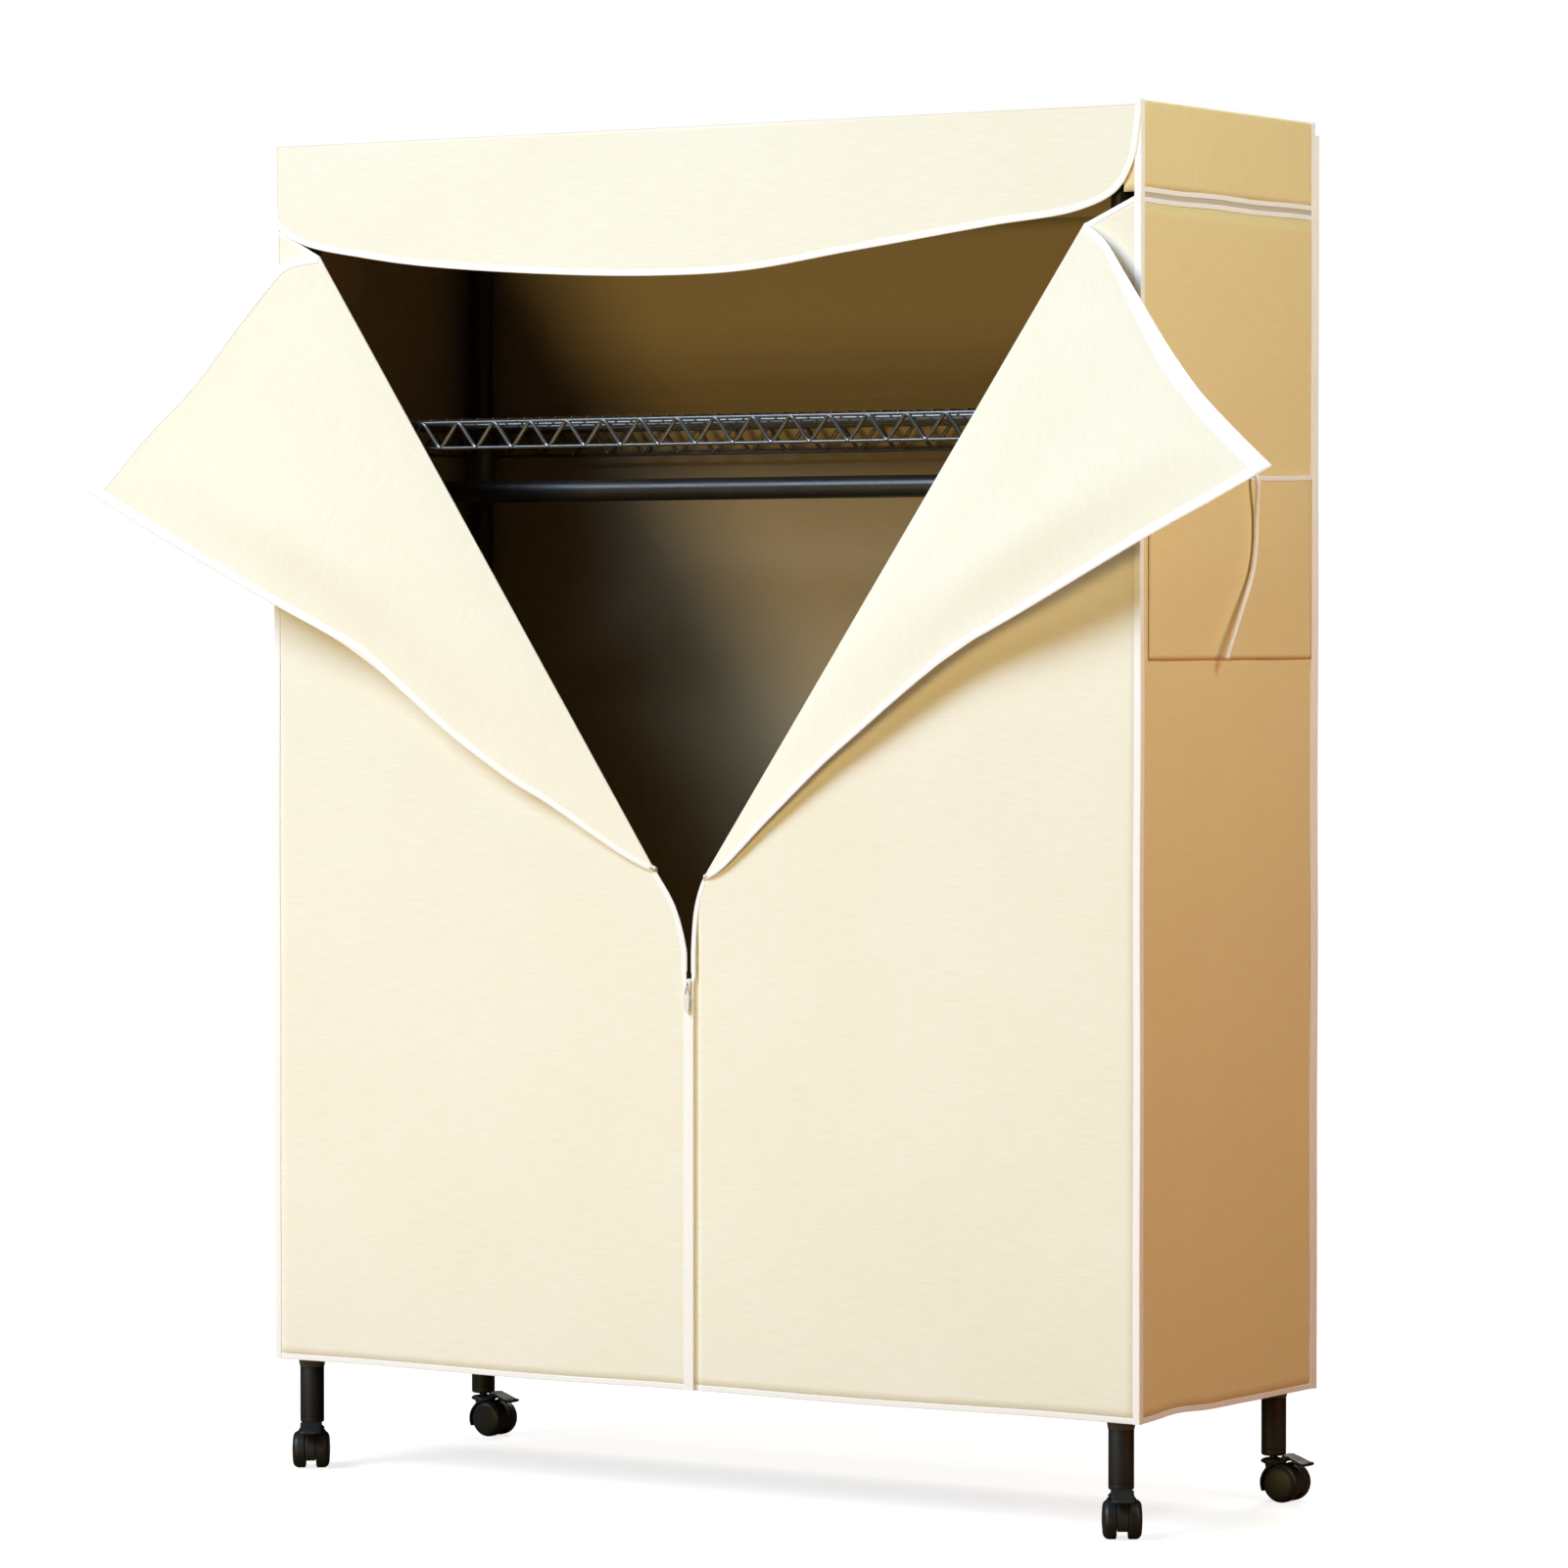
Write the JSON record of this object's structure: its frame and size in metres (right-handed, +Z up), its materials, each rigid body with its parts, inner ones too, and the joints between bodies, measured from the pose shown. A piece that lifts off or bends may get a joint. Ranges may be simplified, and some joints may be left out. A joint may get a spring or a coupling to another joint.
{
  "type": "portable fabric wardrobe",
  "caption": "Wire-shelf garment rack on braked twin-wheel castors in a zipped fabric cover, with folded-back door flaps, hanging rod, roof valance and side pocket.",
  "frame": {"origin": "middle of the footprint of the whole model with its flaps folded back, on the floor", "axes": "+X along the width, to the right of someone facing the front, +Y from the front to the back, +Z up"},
  "size_m": [1.8284, 0.5608, 1.8],
  "materials": {
    "powder_coat": "satin black powder coat",
    "black_plastic": "moulded satin black",
    "wheel_plastic": "moulded, slightly glossy black",
    "axle_steel": "bright pin",
    "cream_cloth": "woven cloth with fine horizontal slubs",
    "white_binding": "white woven binding tape",
    "zip_enamel": "off-white enamel"
  },
  "bodies": {
    "rack": {"lower_post_front_left": "powder_coat", "upper_post_front_left": "powder_coat", "post_foot_front_left": "black_plastic", "post_cap_front_left": "black_plastic", "lower_post_front_right": "powder_coat", "upper_post_front_right": "powder_coat", "post_foot_front_right": "black_plastic", "post_cap_front_right": "black_plastic", "lower_post_back_left": "powder_coat", "upper_post_back_left": "powder_coat", "post_foot_back_left": "black_plastic", "post_cap_back_left": "black_plastic", "lower_post_back_right": "powder_coat", "upper_post_back_right": "powder_coat", "post_foot_back_right": "black_plastic", "post_cap_back_right": "black_plastic", "bottom_shelf": "powder_coat", "upper_shelf": "powder_coat", "top_shelf": "powder_coat", "hanging_rod": "powder_coat", "rod_bracket_right": "powder_coat", "rod_bracket_left": "powder_coat", "cover_roof": "cream_cloth", "cover_back_panel": "cream_cloth", "cover_left_panel": "cream_cloth", "cover_right_panel": "cream_cloth", "cover_left_band": "white_binding", "cover_right_band": "white_binding", "front_left_panel": "cream_cloth", "front_right_panel": "cream_cloth", "zip_tape": "white_binding", "side_pocket": "cream_cloth", "pocket_binding": "white_binding", "pocket_tie": "white_binding"},
    "valance_cloth": {"valance": "cream_cloth"},
    "left_flap_cloth": {"left_flap": "cream_cloth"},
    "right_flap_cloth": {"right_flap": "cream_cloth"},
    "slider": {"zip_slider": "zip_enamel"},
    "pull": {"zip_pull": "zip_enamel"},
    "front_left_castor": {"castor_hood_front_left": "black_plastic", "castor_axle_front_left": "axle_steel"},
    "front_left_wheel_a": {"castor_wheel_front_left_a": "wheel_plastic"},
    "front_left_wheel_b": {"castor_wheel_front_left_b": "wheel_plastic"},
    "front_left_pedal": {"brake_pedal_front_left": "black_plastic"},
    "front_right_castor": {"castor_hood_front_right": "black_plastic", "castor_axle_front_right": "axle_steel"},
    "front_right_wheel_a": {"castor_wheel_front_right_a": "wheel_plastic"},
    "front_right_wheel_b": {"castor_wheel_front_right_b": "wheel_plastic"},
    "front_right_pedal": {"brake_pedal_front_right": "black_plastic"},
    "back_left_castor": {"castor_hood_back_left": "black_plastic", "castor_axle_back_left": "axle_steel"},
    "back_left_wheel_a": {"castor_wheel_back_left_a": "wheel_plastic"},
    "back_left_wheel_b": {"castor_wheel_back_left_b": "wheel_plastic"},
    "back_left_pedal": {"brake_pedal_back_left": "black_plastic"},
    "back_right_castor": {"castor_hood_back_right": "black_plastic", "castor_axle_back_right": "axle_steel"},
    "back_right_wheel_a": {"castor_wheel_back_right_a": "wheel_plastic"},
    "back_right_wheel_b": {"castor_wheel_back_right_b": "wheel_plastic"},
    "back_right_pedal": {"brake_pedal_back_right": "black_plastic"}
  },
  "joints": [
    {"name": "valance_lift", "type": "hinge", "parent": "rack", "child": "valance_cloth", "pos_m": [0.0004, -0.17856, 1.7991], "axis": [-1, 0, 0], "range_deg": [0, 120]},
    {"name": "left_flap_fold", "type": "hinge", "parent": "rack", "child": "left_flap_cloth", "pos_m": [-0.59879, -0.17846, 1.64268], "axis": [-0.5543, 0, 0.8323], "range_deg": [0, 100]},
    {"name": "right_flap_fold", "type": "hinge", "parent": "rack", "child": "right_flap_cloth", "pos_m": [0.59629, -0.17846, 1.64736], "axis": [-0.5664, 0, -0.8242], "range_deg": [0, 100]},
    {"name": "zip_slide", "type": "slide", "parent": "rack", "child": "slider", "axis": [0, 0, 1], "range_m": [-0.49, 0]},
    {"name": "zip_pull_swing", "type": "hinge", "parent": "slider", "child": "pull", "pos_m": [0.0004, -0.18336, 0.6707], "axis": [-1, 0, 0], "range_deg": [0, 150]},
    {"name": "front_left_swivel", "type": "hinge", "parent": "rack", "child": "front_left_castor", "pos_m": [-0.6336, -0.15056, 0.055], "axis": [0, 0, 1], "continuous": true},
    {"name": "front_left_spin_a", "type": "hinge", "parent": "front_left_castor", "child": "front_left_wheel_a", "pos_m": [-0.6227, -0.16734, 0.025], "axis": [0.8387, 0.5446, 0], "continuous": true},
    {"name": "front_left_spin_b", "type": "hinge", "parent": "front_left_castor", "child": "front_left_wheel_b", "pos_m": [-0.6227, -0.16734, 0.025], "axis": [0.8387, 0.5446, 0], "continuous": true},
    {"name": "front_left_brake", "type": "hinge", "parent": "front_left_castor", "child": "front_left_pedal", "pos_m": [-0.62162, -0.16901, 0.05782], "axis": [0.8387, 0.5446, 0], "range_deg": [0, 18]},
    {"name": "front_right_swivel", "type": "hinge", "parent": "rack", "child": "front_right_castor", "pos_m": [0.6344, -0.15056, 0.055], "axis": [0, 0, 1], "continuous": true},
    {"name": "front_right_spin_a", "type": "hinge", "parent": "front_right_castor", "child": "front_right_wheel_a", "pos_m": [0.64529, -0.16734, 0.025], "axis": [0.8387, 0.5446, 0], "continuous": true},
    {"name": "front_right_spin_b", "type": "hinge", "parent": "front_right_castor", "child": "front_right_wheel_b", "pos_m": [0.64529, -0.16734, 0.025], "axis": [0.8387, 0.5446, 0], "continuous": true},
    {"name": "front_right_brake", "type": "hinge", "parent": "front_right_castor", "child": "front_right_pedal", "pos_m": [0.64638, -0.16901, 0.05782], "axis": [0.8387, 0.5446, 0], "range_deg": [0, 18]},
    {"name": "back_left_swivel", "type": "hinge", "parent": "rack", "child": "back_left_castor", "pos_m": [-0.6336, 0.25144, 0.055], "axis": [0, 0, 1], "continuous": true},
    {"name": "back_left_spin_a", "type": "hinge", "parent": "back_left_castor", "child": "back_left_wheel_a", "pos_m": [-0.6136, 0.25144, 0.025], "axis": [0, 1, 0], "continuous": true},
    {"name": "back_left_spin_b", "type": "hinge", "parent": "back_left_castor", "child": "back_left_wheel_b", "pos_m": [-0.6136, 0.25144, 0.025], "axis": [0, 1, 0], "continuous": true},
    {"name": "back_left_brake", "type": "hinge", "parent": "back_left_castor", "child": "back_left_pedal", "pos_m": [-0.6116, 0.25144, 0.05782], "axis": [0, 1, 0], "range_deg": [0, 18]},
    {"name": "back_right_swivel", "type": "hinge", "parent": "rack", "child": "back_right_castor", "pos_m": [0.6344, 0.25144, 0.055], "axis": [0, 0, 1], "continuous": true},
    {"name": "back_right_spin_a", "type": "hinge", "parent": "back_right_castor", "child": "back_right_wheel_a", "pos_m": [0.6544, 0.25144, 0.025], "axis": [0, 1, 0], "continuous": true},
    {"name": "back_right_spin_b", "type": "hinge", "parent": "back_right_castor", "child": "back_right_wheel_b", "pos_m": [0.6544, 0.25144, 0.025], "axis": [0, 1, 0], "continuous": true},
    {"name": "back_right_brake", "type": "hinge", "parent": "back_right_castor", "child": "back_right_pedal", "pos_m": [0.6564, 0.25144, 0.05782], "axis": [0, 1, 0], "range_deg": [0, 18]}
  ]
}
